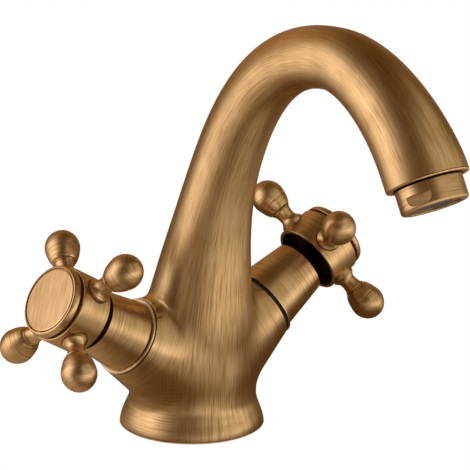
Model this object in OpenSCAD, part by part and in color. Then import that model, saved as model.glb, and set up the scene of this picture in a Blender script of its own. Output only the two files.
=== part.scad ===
// Two-handle basin mixer with a leaning gooseneck spout and cross handles. Sizes are in millimetres.
// The origin is the centre of the flat foot. +Z is up, +X runs along the handles, and the spout
// points to -Y.
// The hot side is at -X and its valve is shut. The cold side is at +X and its valve stands open.

/* [Body casting] */
// Diameter of the round foot
foot_d = 52.4; // [50:0.2:54]
// Height of the crown of the spout's centre line
crown_z = 145.7; // [142:0.1:150]
// Reach of that crown in front of the foot's centre
crown_reach = 75.2; // [71:0.1:79]
// Reach of the centre of the spout's end face
outlet_reach = 121.9; // [118:0.1:125]
// Height of the centre of the spout's end face
outlet_z = 113.4; // [110:0.1:117]
// Tilt of the spout's end face from level
outlet_tilt = 28.2; // [23:0.1:33]
// Wall of the hollow spout
wall = 2.8; // [2.4:0.1:3.2]

/* [Side branches] */
// Height where both branch axes cross the middle of the body
branch_z = 20.4; // [19.9:0.1:21]
// Rise of each branch axis above level
branch_rise = 30.5; // [29.5:0.5:31.5]
// Radius of a branch at its machined end face
branch_r = 14.3; // [14.1:0.1:14.7]
// Widening of a branch towards the body, per millimetre of its length
branch_flare = 0.23; // [0.18:0.01:0.26]
// Distance along its axis to the hot branch's machined end face
hot_branch_end = 33.2; // [32.9:0.1:33.8]
// Distance along its axis to the cold branch's machined end face
cold_branch_end = 35.4; // [33.9:0.1:35.8]
// Size of the cast fillet between the branches and the body
fillet = 5; // [4:0.5:7]

/* [Valve tops] */
// Thickness of the gasket between the hot branch and its flange ring
hot_gasket_h = 0.3; // [0.2:0.1:0.5]
// Thickness of the gasket between the cold branch and its flange ring
cold_gasket_h = 1.6; // [1.2:0.1:1.8]
// Radius of the decorative flange ring
flange_r = 14.1; // [14:0.1:14.5]
// Radius of the conical sleeve at the flange
sleeve_r = 13; // [12.8:0.1:13.3]
// Radius of the conical sleeve at the handle
sleeve_tip_r = 10.5; // [10.2:0.1:10.8]
// Distance along the branch axis to the sleeve's outer end
sleeve_end = 58; // [57.4:0.1:58]

/* [Cross handles] */
// Distance along the branch axis to the plane of the arms, valve shut
arm_plane = 61.6; // [61.3:0.1:62]
// Radius of the hub
hub_r = 13.6; // [13.4:0.1:13.9]
// Distance from the handle's axis to the centre of each ball
ball_reach = 26.6; // [25.6:0.1:27.6]
// Radius of each ball
ball_r = 6.3; // [5.9:0.05:6.5]
// Length of the ball's outer half, a little more than its radius
ball_tip = 6.75; // [6:0.05:7.2]
// Rise of a handle for each full turn
lead = 3; // [2.5:0.1:3]
// Angle through which the cold handle stands open
cold_open = 818; // [740:1:855]

/* [Aerator] */
// Radius of the aerator shell
aerator_r = 11.2; // [11:0.1:11.4]
// How far the shell stands out of the spout
aerator_drop = 8.2; // [7:0.1:9]

/* [Hidden] */

$fn = 64;
HOT = -1;              // side factor of the hot branch, which points to -X
COLD = 1;              // side factor of the cold branch, which points to +X
bronze = "#a5763f";
brass = "#c9a24d";
rubber = "#26221f";
fibre = "#3a2414";
steel = "#b9bcc0";
plastic = "#8d8a80";

eps = 0.01;            // overshoot of a cut past the face that it opens
fit = 0.05;            // running clearance on the radius

// Spindle and handle position of each side: angle and rise from the shut position
function open_angle(side) = side == COLD ? cold_open : 0;
function rise(side) = lead * open_angle(side) / 360;
arm_park = 44.6;       // angle of the first arm of a shut handle

// ---- Centre line of the casting: a straight foot, then two cubic curves that meet at the crown ----
foot_h = 6;            // straight part of the centre line, from the foot up
neck_pull = 52;        // length of the first curve's lower handle
neck_lean = 4.6;       // how far that handle leans forwards
crown_pull = 58.8;     // length of the first curve's handle behind the crown
nose_pull = 20.3;      // length of the second curve's handle in front of the crown
outlet_pull = 16;      // length of the second curve's handle at the outlet
outlet_dir = [-sin(outlet_tilt), -cos(outlet_tilt)];
outlet_centre = [-outlet_reach, outlet_z];
rising_curve = [[0, foot_h], [-neck_lean, foot_h + neck_pull],
                [crown_pull - crown_reach, crown_z], [-crown_reach, crown_z]];
falling_curve = [[-crown_reach, crown_z], [-crown_reach - nose_pull, crown_z],
                 outlet_centre - outlet_pull * outlet_dir, outlet_centre];

function cubic(p, t) = pow(1 - t, 3) * p[0] + 3 * pow(1 - t, 2) * t * p[1]
                     + 3 * (1 - t) * t * t * p[2] + pow(t, 3) * p[3];
function cubic_slope(p, t) = 3 * (pow(1 - t, 2) * (p[1] - p[0]) + 2 * (1 - t) * t * (p[2] - p[1])
                           + t * t * (p[3] - p[2]));
function unit(v) = v / norm(v);

// Station u runs from -1 at the floor through 0 at the top of the foot and 1 at the crown to 2 at the
// outlet. centre() is the centre line's point there and heading() its direction, in the (y, z) plane.
function centre(u) = u < 0 ? [0, foot_h * (1 + u)]
                   : u <= 1 ? cubic(rising_curve, u) : cubic(falling_curve, u - 1);
function heading(u) = u < 0 ? [0, 1]
                    : unit(u <= 1 ? cubic_slope(rising_curve, u) : cubic_slope(falling_curve, u - 1));

// ---- Radius of the round trunk and spout: smooth through these pairs of station and radius ----
foot_r = foot_d / 2;
// A unit of station is foot_h in the foot and about 3 * neck_pull above it. The pairs below 0 are given in
// the neck's units, so that the outline runs smoothly out of the foot.
foot_share = foot_h / (3 * neck_pull);
trunk_knots = [[-foot_share, foot_r - 0.1], [-0.86 * foot_share, foot_r],
               [-0.5 * foot_share, foot_r - 0.4], [0, 24.2], [0.035, 22.65], [0.07, 21.15],
               [0.12, 20.9], [0.2, 19.95], [0.3, 16.85], [0.4, 14], [0.5, 12.25], [0.6, 11.5],
               [0.75, 10.85], [0.9, 10.5], [1, 10.5], [1.15, 11.05], [1.4, 11.95],
               [1.7, 13.05], [1.9, 13.7], [2, 13.8]];

// Slope of the smooth curve at knot i, from its two neighbours
function knot_slope(k, i) = let (a = max(i - 1, 0), b = min(i + 1, len(k) - 1))
    (k[b][1] - k[a][1]) / (k[b][0] - k[a][0]);
function knot_below(k, u, i = 0) = i >= len(k) - 2 || u < k[i + 1][0] ? i : knot_below(k, u, i + 1);
function through_knots(k, u) =
    let (i = knot_below(k, u), w = k[i + 1][0] - k[i][0], t = (u - k[i][0]) / w)
    (2 * t * t * t - 3 * t * t + 1) * k[i][1] + (t * t * t - 2 * t * t + t) * w * knot_slope(k, i)
    + (3 * t * t - 2 * t * t * t) * k[i + 1][1] + (t * t * t - t * t) * w * knot_slope(k, i + 1);
function trunk_radius(u) = through_knots(trunk_knots, u < 0 ? u * foot_share : u);

// ---- Outer skin: each ring is found by looking outwards from the centre line for the surface ----
function branch_end(side) = side == COLD ? cold_branch_end : hot_branch_end;
machining = 3;                      // length that is machined off the end of a cast branch
branch_dir = [cos(branch_rise), 0, sin(branch_rise)];
neck_start = 0.36;                  // station above which no branch reaches the skin
search_r = 46;                      // no skin lies farther from the centre line

// Signed distance to a branch: a cone about its axis, round at its root and flat at its end
function branch_gap(p, side) =
    let (q = [p[0] * side, p[1], p[2] - branch_z], s = max(q * branch_dir, 0),
         off_axis = norm(q - s * branch_dir) - branch_r - branch_flare * (branch_end(side) - s))
    max(off_axis, s - branch_end(side) - machining);
// Smooth minimum of two distances, which rounds the inside corner where their surfaces meet
function blend(a, b) = let (h = max(fillet - abs(a - b), 0) / fillet) min(a, b) - h * h * fillet / 4;
// Point of the ring at station u, at the given angle and distance from the centre line
function ring_point(u, angle, r) = let (c = centre(u), h = heading(u))
    [r * cos(angle), c[0] + r * sin(angle) * h[1], c[1] - r * sin(angle) * h[0]];
function skin_gap(u, angle, r) = let (p = ring_point(u, angle, r))
    blend(r - trunk_radius(u), min(branch_gap(p, HOT), branch_gap(p, COLD)));
// Distance to the skin along one ray, halving the search span each time
function find_skin(u, angle, low, high, steps = 15) =
    steps == 0 ? (low + high) / 2
    : let (mid = (low + high) / 2)
      skin_gap(u, angle, mid) < 0 ? find_skin(u, angle, mid, high, steps - 1)
                                  : find_skin(u, angle, low, mid, steps - 1);
function skin_radius(u, angle) =
    u > neck_start ? trunk_radius(u) : find_skin(u, angle, trunk_radius(u) * 0.5, search_r);

// Waterway inside: a constant wall, no wider than the mixing chamber, and narrow at the outlet thread
chamber_station = 0.164;
chamber_r = 13;
outlet_bore_r = 9.2;
function ease(a, b, u) = let (t = min(max((u - a) / (b - a), 0), 1)) t * t * (3 - 2 * t);
function waterway_radius(u) =
    min(trunk_radius(u) - wall, chamber_r + (outlet_bore_r - chamber_r) * ease(1.5, 1.85, u));

sides = 48;                         // points on every ring
crowding = 11;                      // degrees by which the points crowd towards the branches
function ring_angle(i) = let (a = 360 * i / sides) a - crowding * sin(2 * a);
outer_stations = [-1, -0.93, -0.86, -0.7, -0.5, -0.25, for (i = [0:33]) i * 0.011,
                  for (i = [1:14]) 0.363 + i * 0.0455, for (i = [1:14]) 1 + i / 14];
outer_rings = [for (u = outer_stations) [for (i = [0:sides - 1])
    let (a = ring_angle(i)) ring_point(u, a, skin_radius(u, a))]];
inner_stations = [for (i = [0:20]) 2 - i * (2 - chamber_station) / 20];
inner_rings = [for (u = inner_stations) [for (i = [0:sides - 1])
    ring_point(u, ring_angle(i), waterway_radius(u))]];
skin_rings = [for (r = outer_rings) r, for (r = inner_rings) r];

module casting_skin() {
    n = len(skin_rings);
    polyhedron(
        points = [for (r = skin_rings) for (p = r) p],
        faces = [
            [for (i = [0:sides - 1]) i],
            [for (i = [sides - 1:-1:0]) (n - 1) * sides + i],
            for (k = [0:n - 2]) for (i = [0:sides - 1])
                let (a = k * sides + i, b = k * sides + (i + 1) % sides) each
                    [[a, a + sides, b], [b, a + sides, b + sides]]
        ],
        convexity = 8);
}

// ---- Placing: local +Z is the outward branch axis, or the way the water leaves the outlet ----
module on_branch(side) {
    translate([0, 0, branch_z]) rotate([0, side * (90 - branch_rise), 0]) children();
}
module on_handle(side) {
    on_branch(side) translate([0, 0, arm_plane + rise(side)])
        rotate([0, 0, arm_park + open_angle(side)]) children();
}
module at_outlet() {
    translate([0, outlet_centre[0], outlet_centre[1]]) rotate([180 - outlet_tilt, 0, 0]) children();
}
// Cylinder along Z from one height to another
module span(z0, z1, r) {
    translate([0, 0, z0]) cylinder(h = z1 - z0, r = r);
}
module tube(z0, z1, r_out, r_in) {
    difference() {
        span(z0, z1, r_out);
        span(z0 - 1, z1 + 1, r_in);
    }
}

// ---- Body: water enters two threaded holes, rises to the valve seats and meets in the chamber ----
inlet_x = 9;                        // offset of each inlet from the middle
inlet_thread_r = 4.5;               // core of an M10 x 1 thread
inlet_thread_l = 12;
riser_r = 3.8;
riser_top = 26.5;
stud_y = -14;                       // the fixing stud stands in front of the inlets
stud_thread_r = 3.4;                // core of an M8 thread
stud_thread_l = 14;
seal_groove_r = [18.6, 22.6];
seal_h = 2;
seat_s = 15;                        // the valve seat's lip, along the branch axis
seat_lip = 1;
seat_lip_r = 6.4;
port_r = 4.8;
port_start = 9;
valve_bore_r = 9;
valve_thread_r = 10;                // pitch cylinder of the G 1/2 thread in the branch
valve_thread_start = 23.8;
outlet_thread_r = 10.45;
outlet_thread_l = 9.5;
outlet_recess_r = 11.7;             // recess that leaves the dark line round the aerator shell
outlet_recess_h = 1.2;
machined_r = 17.5;                  // reach of the cut that faces a branch

module body() {
    color(bronze) difference() {
        casting_skin();
        for (side = [HOT, COLD]) {
            on_branch(side) {
                span(branch_end(side), branch_end(side) + 15, machined_r);
                span(valve_thread_start, branch_end(side) + 1, valve_thread_r);
                tube(seat_s - seat_lip, seat_s + eps, valve_bore_r, seat_lip_r);
                span(seat_s, valve_thread_start + eps, valve_bore_r);
                span(port_start, seat_s + 1, port_r);
            }
            translate([side * inlet_x, 0, 0]) {
                span(-1, inlet_thread_l, inlet_thread_r);
                span(0, riser_top, riser_r);
            }
        }
        translate([0, stud_y, 0]) span(-1, stud_thread_l, stud_thread_r);
        tube(-1, seal_h, seal_groove_r[1], seal_groove_r[0]);
        at_outlet() {
            span(-outlet_thread_l, 1, outlet_thread_r);
            span(-outlet_recess_h, 2, outlet_recess_r);
        }
    }
}
module base_seal() {
    color(rubber) tube(0, seal_h, seal_groove_r[1] - 0.3, seal_groove_r[0] + 0.3);
}

// ---- Aerator: a threaded shell with two spanner flats round a plastic insert ----
aerator_washer_h = 1.5;
shell_top = -outlet_thread_l + aerator_washer_h;
shell_wall = 1.5;
shell_lip_r = 8.3;
shell_lip_h = 1;
shell_chamfer = 0.9;
flat_depth = 1;
flat_top = 3.7;                     // straight edge of a flat's pocket, from the spout's end face
flat_size = [8.6, 3.5];             // width and height of that pocket
flat_corner_r = 2.4;                // its two lower corners are round
flat_angle = 154.5;                 // where round the shell the first flat lies
insert_r = aerator_r - shell_wall - 0.35;
insert_recess_r = 7.6;
insert_recess_h = 1.2;
jet_r = 0.8;
jet_pitch = 2.4;
jet_rows = 2;                       // hexagonal rings of jets round the middle one

// Outline of a flat's pocket: square at the top, round at the bottom
module flat_outline() {
    square_h = flat_size[1] - flat_corner_r;
    translate([-flat_size[0] / 2, 0]) square([flat_size[0], square_h]);
    translate([flat_corner_r - flat_size[0] / 2, 0])
        square([flat_size[0] - 2 * flat_corner_r, flat_size[1]]);
    for (end = [-1, 1]) translate([end * (flat_size[0] / 2 - flat_corner_r), square_h])
        circle(r = flat_corner_r, $fn = 32);
}
module aerator_shell() {
    spout_gap = 0.4;
    color(bronze) at_outlet() difference() {
        rotate_extrude() polygon([
            [0, shell_top], [outlet_thread_r - fit, shell_top],
            [outlet_thread_r - fit, -outlet_recess_h],
            [aerator_r - spout_gap, -outlet_recess_h], [aerator_r, -outlet_recess_h + spout_gap],
            [aerator_r, aerator_drop - shell_chamfer], [aerator_r - shell_chamfer, aerator_drop],
            [0, aerator_drop]]);
        span(shell_top - 1, aerator_drop - shell_lip_h, insert_r + fit);
        span(0, aerator_drop + 1, shell_lip_r);
        for (turn = [0, 180]) rotate([0, 0, flat_angle + turn])
            translate([aerator_r - flat_depth, 0, flat_top]) rotate([90, 0, 90])
                linear_extrude(height = aerator_r) flat_outline();
    }
}
module aerator_insert() {
    color(plastic) at_outlet() difference() {
        span(shell_top, aerator_drop - shell_lip_h, insert_r);
        span(aerator_drop - shell_lip_h - insert_recess_h, aerator_drop, insert_recess_r);
        span(shell_top - 1, -1, insert_recess_r);
        for (q = [-jet_rows:jet_rows], r = [-jet_rows:jet_rows])
            if (abs(q + r) <= jet_rows)
                translate([jet_pitch * (q + r / 2), jet_pitch * r * sqrt(3) / 2, 0])
                    span(-2, aerator_drop, jet_r);
    }
}
module aerator_washer() {
    color(rubber) at_outlet()
        tube(shell_top - aerator_washer_h, shell_top, outlet_thread_r - 0.1, insert_recess_r);
}

// ---- Fixed parts of a valve ----
function gasket_h(side) = side == COLD ? cold_gasket_h : hot_gasket_h;
gasket_r = 13.2;
ring_h = 0.8;
function ring_start(side) = branch_end(side) + gasket_h(side);
function sleeve_start(side) = ring_start(side) + ring_h;
sleeve_wall = 1.3;
barrel_r = 7.3;
hex_r = 9 / cos(30);                // corners of the 18 mm hexagon
collar_r = hex_r + 0.3;
collar_h = 1.2;
hex_h = 4.6;
headwork_start = 24;
barrel_end = sleeve_end - 0.5;
spindle_r = 4.5;
plate_room_r = 7.3;                 // room inside the headwork for the rising jumper plate
plate_room_end = 31;

module gasket(side) {
    color(fibre) on_branch(side) tube(branch_end(side), ring_start(side), gasket_r, valve_thread_r);
}
module flange_ring(side) {
    round_r = ring_h / 2;
    start = ring_start(side);
    color(bronze) on_branch(side) difference() {
        union() {
            span(start, sleeve_start(side), flange_r - round_r);
            translate([0, 0, start + round_r]) rotate_extrude()
                translate([flange_r - round_r, 0]) circle(r = round_r, $fn = 32);
        }
        span(start - 1, sleeve_start(side) + 1, valve_thread_r);
    }
}
module sleeve(side) {
    edge = 0.5;                     // small bevel at the outer end
    start = sleeve_start(side);
    taper = (sleeve_r - sleeve_tip_r) / (sleeve_end - start);
    color(bronze) on_branch(side) rotate_extrude() polygon([
        [sleeve_r - sleeve_wall, start], [sleeve_r, start],
        [sleeve_tip_r + taper * edge, sleeve_end - edge], [sleeve_tip_r - edge, sleeve_end],
        [barrel_r + fit, sleeve_end], [barrel_r + fit, sleeve_end - sleeve_wall],
        [sleeve_tip_r - sleeve_wall, sleeve_end - sleeve_wall]]);
}
module headwork(side) {
    collar_start = sleeve_start(side);
    hex_start = collar_start + collar_h;
    color(brass) on_branch(side) difference() {
        union() {
            span(headwork_start, collar_start, valve_thread_r - fit);
            span(collar_start, hex_start, collar_r);
            translate([0, 0, hex_start]) cylinder(h = hex_h, r = hex_r, $fn = 6);
            span(hex_start + hex_h, barrel_end, barrel_r);
        }
        span(headwork_start - 1, barrel_end + 1, spindle_r + fit);
        span(headwork_start - 1, plate_room_end, plate_room_r);
    }
}

// ---- Rising parts: the jumper slides, the spindle turns on it and carries the handle ----
washer_h = 2;
plate_h = 2;
plate_r = 6.8;
stem_r = 2.5;
stem_l = 8;
touch = 0.1;                        // gap between faces that turn on one another
plate_top = seat_s + washer_h + plate_h;
square_w = 6.3;                     // square on the spindle that drives the hub
hub_back = -6;                      // the hub's ends, from the plane of its arms
hub_front = 6.5;
skirt_wall = 1.2;                   // rim that slips over the sleeve
skirt_h = 2.8;
socket_floor = 3.5;                 // floor of the hub's front socket
socket_r = 8;
screw_r = 2;
screw_l = 10;
screw_head_r = 3.5;
screw_head_h = 2.2;
seal_s = 44;
seal_bite = 0.75;                   // radius of the spindle seal's cord

module jumper(side) {
    color(brass) on_branch(side) translate([0, 0, rise(side)]) {
        span(seat_s + washer_h, plate_top, plate_r);
        span(plate_top, plate_top + stem_l, stem_r);
    }
}
module jumper_washer(side) {
    color(rubber) on_branch(side) translate([0, 0, rise(side)])
        span(seat_s, seat_s + washer_h, plate_r - 0.3);
}
module spindle(side) {
    start = plate_top + touch - arm_plane;
    color(brass) on_handle(side) difference() {
        union() {
            span(start, hub_back + skirt_h, spindle_r);
            translate([-square_w / 2, -square_w / 2, hub_back + skirt_h - 1])
                cube([square_w, square_w, socket_floor - touch - hub_back - skirt_h + 1]);
        }
        span(start - 1, start + stem_l + 0.5, stem_r + fit);
        span(socket_floor - screw_l - 1, socket_floor + 1, screw_r);
        tube(seal_s - arm_plane - seal_bite, seal_s - arm_plane + seal_bite,
             spindle_r + 1, spindle_r - 2 * seal_bite);
    }
}
module spindle_seal(side) {
    color(rubber) on_handle(side) translate([0, 0, seal_s - arm_plane]) rotate_extrude()
        translate([spindle_r - seal_bite, 0]) circle(r = seal_bite, $fn = 24);
}
module handle_screw(side) {
    color(steel) on_handle(side) difference() {
        union() {
            span(socket_floor - screw_l, socket_floor, screw_r);
            span(socket_floor, socket_floor + screw_head_h, screw_head_r);
        }
        translate([0, 0, socket_floor + 0.6]) cylinder(h = screw_head_h, r = 1.6, $fn = 6);
    }
}

// ---- Hub with a saddle for each arm ----
arm_foot_r = 4.4;
spigot_r = 2;
spigot_end = 9;                     // inner end of an arm's spigot, from the handle's axis
saddle_gap = 0.3;                   // dark line round each arm's foot
saddle_depth = 0.6;

module hub(side) {
    edge = 0.5;
    rim_edge = 0.3;
    color(bronze) on_handle(side) difference() {
        rotate_extrude() polygon([
            [0, hub_back + skirt_h], [hub_r - skirt_wall, hub_back + skirt_h],
            [hub_r - skirt_wall, hub_back], [hub_r - rim_edge, hub_back],
            [hub_r, hub_back + rim_edge], [hub_r, hub_front - edge],
            [hub_r - edge, hub_front], [socket_r, hub_front],
            [socket_r, socket_floor], [0, socket_floor]]);
        translate([-square_w / 2 - fit, -square_w / 2 - fit, hub_back])
            cube([square_w + 2 * fit, square_w + 2 * fit, socket_floor - hub_back + 1]);
        for (turn = [0:90:270]) rotate([0, 0, turn]) rotate([0, 90, 0]) {
            span(spigot_end, hub_r + 1, spigot_r);
            difference() {
                span(hub_r - 3, hub_r + 1, arm_foot_r + saddle_gap);
                rotate([0, -90, 0]) span(hub_back, hub_front, hub_r - saddle_depth);
            }
        }
    }
}

// ---- Turned arm: conical foot, waisted neck, thin bead and pear-shaped ball ----
neck_r = 3;
neck_reach = 16.6;
bead_reach = 20.2;                  // where the bead ends and the ball begins
bead_r = 3.95;
bead_w = 0.6;
pear_r = 3.75;                      // the ball's radius where it leaves the bead
pear_waist = 0.28;                  // how much the ball narrows towards the bead
foot_reach = hub_r + 0.6;
// Radius of the ball behind its middle: an ellipse, narrowed more the farther it is from the middle
function pear_radius(x) = let (t = (ball_reach - x) / (ball_reach - bead_reach))
    pear_r + (ball_r - pear_r) * sqrt(max(1 - t * t, 0)) * (1 - pear_waist * t);
// Radius of the neck: two parabolas that meet at its narrowest place
function neck_radius(x) = x < neck_reach
    ? neck_r + (arm_foot_r - neck_r) * pow((neck_reach - x) / (neck_reach - foot_reach), 2)
    : neck_r + (pear_r - neck_r) * pow((x - neck_reach) / (bead_reach - neck_reach), 2);
arm_outline = concat(
    [[0, hub_r - 2], [arm_foot_r, hub_r - 2]],
    [for (i = [0:8]) let (x = foot_reach + i * (bead_reach - bead_w - foot_reach) / 8)
        [neck_radius(x), x]],
    [[bead_r, bead_reach - bead_w * 0.7], [bead_r, bead_reach - bead_w * 0.3]],
    [for (i = [0:8]) let (x = bead_reach + (ball_reach - bead_reach) * sin(i * 90 / 8))
        [pear_radius(x), x]],
    [for (i = [1:12]) let (a = i * 90 / 12) [ball_r * cos(a), ball_reach + ball_tip * sin(a)]]);

module arm(side, index) {
    color(bronze) on_handle(side) rotate([0, 0, 90 * (index - 1)]) {
        difference() {
            rotate([0, 90, 0]) rotate_extrude() polygon(arm_outline);
            span(-arm_foot_r - 1, arm_foot_r + 1, hub_r - saddle_depth);
        }
        rotate([0, 90, 0]) span(spigot_end + touch, hub_r, spigot_r - fit / 2);
    }
}

// ---- Cap with its flat disc ----
cap_back = 7.7;                     // the cap's rim stands clear of the hub and leaves a dark line
cap_front = 10.2;
cap_r = 13.1;
cap_face_r = 12.1;                  // where the cap's front face turns into its round shoulder
disc_r = 11.5;
disc_h = 1;
cap_neck_r = 10.4;

module cap(side) {
    edge = 0.3;
    groove = 0.35;
    shoulder_w = cap_r - cap_face_r;
    shoulder_h = cap_front - cap_back - edge;
    // The shoulder is a quarter of an ellipse from the front face down to the rim
    shoulder = [for (i = [0:8]) let (a = i * 90 / 8)
        [cap_face_r + shoulder_w * sin(a), cap_back + edge + shoulder_h * cos(a)]];
    color(bronze) on_handle(side) difference() {
        rotate_extrude() polygon(concat(
            [[0, socket_floor + touch], [socket_r - fit, socket_floor + touch],
             [socket_r - fit, hub_front], [cap_neck_r, hub_front],
             [cap_neck_r, cap_back], [cap_r - edge, cap_back]],
            [for (i = [8:-1:0]) shoulder[i]],
            [[0, cap_front]]));
        span(socket_floor, socket_floor + screw_head_h + 0.4, screw_head_r + 0.4);
        span(cap_front - disc_h, cap_front + 1, disc_r + groove);
    }
}
module index_disc(side) {
    color(bronze) on_handle(side) rotate_extrude() polygon([
        [0, cap_front - disc_h], [disc_r, cap_front - disc_h], [disc_r, cap_front - 0.2],
        [disc_r - 0.3, cap_front + 0.1], [0, cap_front + 0.1]]);
}

body();
base_seal();
aerator_shell();
aerator_insert();
aerator_washer();
flange_ring(HOT);  // hot_flange_ring
flange_ring(COLD);  // cold_flange_ring
sleeve(HOT);  // hot_sleeve
sleeve(COLD);  // cold_sleeve
headwork(HOT);  // hot_headwork
headwork(COLD);  // cold_headwork
gasket(HOT);  // hot_gasket
gasket(COLD);  // cold_gasket
jumper(HOT);  // hot_jumper
jumper(COLD);  // cold_jumper
jumper_washer(HOT);  // hot_jumper_washer
jumper_washer(COLD);  // cold_jumper_washer
spindle(HOT);  // hot_spindle
spindle(COLD);  // cold_spindle
spindle_seal(HOT);  // hot_spindle_seal
spindle_seal(COLD);  // cold_spindle_seal
hub(HOT);  // hot_hub
hub(COLD);  // cold_hub
handle_screw(HOT);  // hot_handle_screw
handle_screw(COLD);  // cold_handle_screw
cap(HOT);  // hot_cap
cap(COLD);  // cold_cap
index_disc(HOT);  // hot_index_disc
index_disc(COLD);  // cold_index_disc
arm(HOT, 1);  // hot_arm_1
arm(HOT, 2);  // hot_arm_2
arm(HOT, 3);  // hot_arm_3
arm(HOT, 4);  // hot_arm_4
arm(COLD, 1);  // cold_arm_1
arm(COLD, 2);  // cold_arm_2
arm(COLD, 3);  // cold_arm_3
arm(COLD, 4);  // cold_arm_4
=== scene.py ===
"""Brushed antique-bronze basin mixer: the looks of every visible piece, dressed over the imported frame.

Sizes are in millimetres unless a name says otherwise, and metres() turns them into Blender's units. The frame's
origin is the centre of the foot's underside, +Z is up, +X runs from the hot to the cold handle, and the spout
points to -Y.
"""

import logging
import math
from dataclasses import dataclass, field
from enum import Enum

import bmesh
import bpy
import numpy as np
from bpy.types import Material, Mesh, Node, NodeSocket, NodeTree, Object, World, bpy_prop_collection
from mathutils import Matrix, Vector


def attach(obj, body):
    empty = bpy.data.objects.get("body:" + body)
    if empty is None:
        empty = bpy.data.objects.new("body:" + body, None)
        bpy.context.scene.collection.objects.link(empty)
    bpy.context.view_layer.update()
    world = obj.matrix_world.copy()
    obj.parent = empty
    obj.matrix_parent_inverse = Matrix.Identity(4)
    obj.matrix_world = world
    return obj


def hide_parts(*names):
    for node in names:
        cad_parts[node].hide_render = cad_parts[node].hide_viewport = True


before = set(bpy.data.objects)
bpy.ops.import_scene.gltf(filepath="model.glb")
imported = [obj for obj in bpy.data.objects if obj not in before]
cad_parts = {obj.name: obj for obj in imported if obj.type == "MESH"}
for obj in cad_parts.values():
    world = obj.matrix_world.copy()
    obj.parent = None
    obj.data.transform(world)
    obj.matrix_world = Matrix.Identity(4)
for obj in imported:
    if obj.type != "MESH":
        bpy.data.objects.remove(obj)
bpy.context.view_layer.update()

log = logging.getLogger("mixer")
IMAGE_SIDE = 470  # pixels on each side of the frame that the camera is set for
Array = np.ndarray


# ---- Small helpers ----


def metres(values: float | Array) -> float | Array:
    """Turn millimetres, as a number or an array, into metres."""
    return np.asarray(values, dtype=float) * 0.001 if not isinstance(values, (int, float)) else values * 0.001


def linear(code: str) -> tuple[float, float, float, float]:
    """Turn an sRGB hex colour into linear values.

    Args:
        code: The colour as "#rrggbb".

    Returns:
        Red, green, blue and an alpha of 1.
    """
    parts = [int(code[i : i + 2], 16) / 255 for i in (1, 3, 5)]
    r, g, b = (c / 12.92 if c <= 0.04045 else ((c + 0.055) / 1.055) ** 2.4 for c in parts)
    return (r, g, b, 1.0)


def add_node(tree: NodeTree, kind: str, links: dict | None = None, **settings) -> Node:
    """Add one shader node with its settings and its incoming links.

    Args:
        tree: The node tree.
        kind: Blender's name of the node type, without its leading ShaderNode.
        links: From an input's name or number to the output socket that feeds it.
        **settings: A setting of the node, or, where it starts with "in_", the value of the input of that name or
            number, with spaces as underscores.

    Returns:
        The new node.
    """
    node = tree.nodes.new("ShaderNode" + kind)
    for name, value in settings.items():
        if not name.startswith("in_"):
            setattr(node, name, value)
    for name, value in settings.items():
        if name.startswith("in_"):
            key = name[3:].replace("_", " ")
            node.inputs[int(key) if key.isdigit() else key].default_value = value
    for name, socket in (links or {}).items():
        tree.links.new(socket, node.inputs[name])
    return node


def fresh_tree(owner: Material | World) -> NodeTree:
    """Switch on the nodes of a material or a world, and return its emptied tree."""
    owner.use_nodes = True
    owner.node_tree.nodes.clear()
    return owner.node_tree


def read(items: bpy_prop_collection, name: str, width: int = 1, kind: type = float) -> Array:
    """Read one property of every item of a mesh, as rows of that width, or flat where the width is 1.

    Args:
        items: The mesh's vertices, edges, loops or polygons.
        name: The property.
        width: Numbers for each item.
        kind: Their type.

    Returns:
        The values.
    """
    values = np.empty(len(items) * width, dtype=kind)
    items.foreach_get(name, values)
    return values.reshape(-1, width) if width > 1 else values


# ---- Finishes ----

FLOW_UV = "flow"  # U is the turn round the piece from 0 to 1, V the distance along it in millimetres
ROUND_BRANCH, ROUND_FOOT = "round_branch", "round_foot"  # the casting's vertex attributes


class Brushing(Enum):
    """Which way the abrasive ran over a piece."""

    ALONG = "along"
    AROUND = "around"
    STRAIGHT = "straight"


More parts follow.
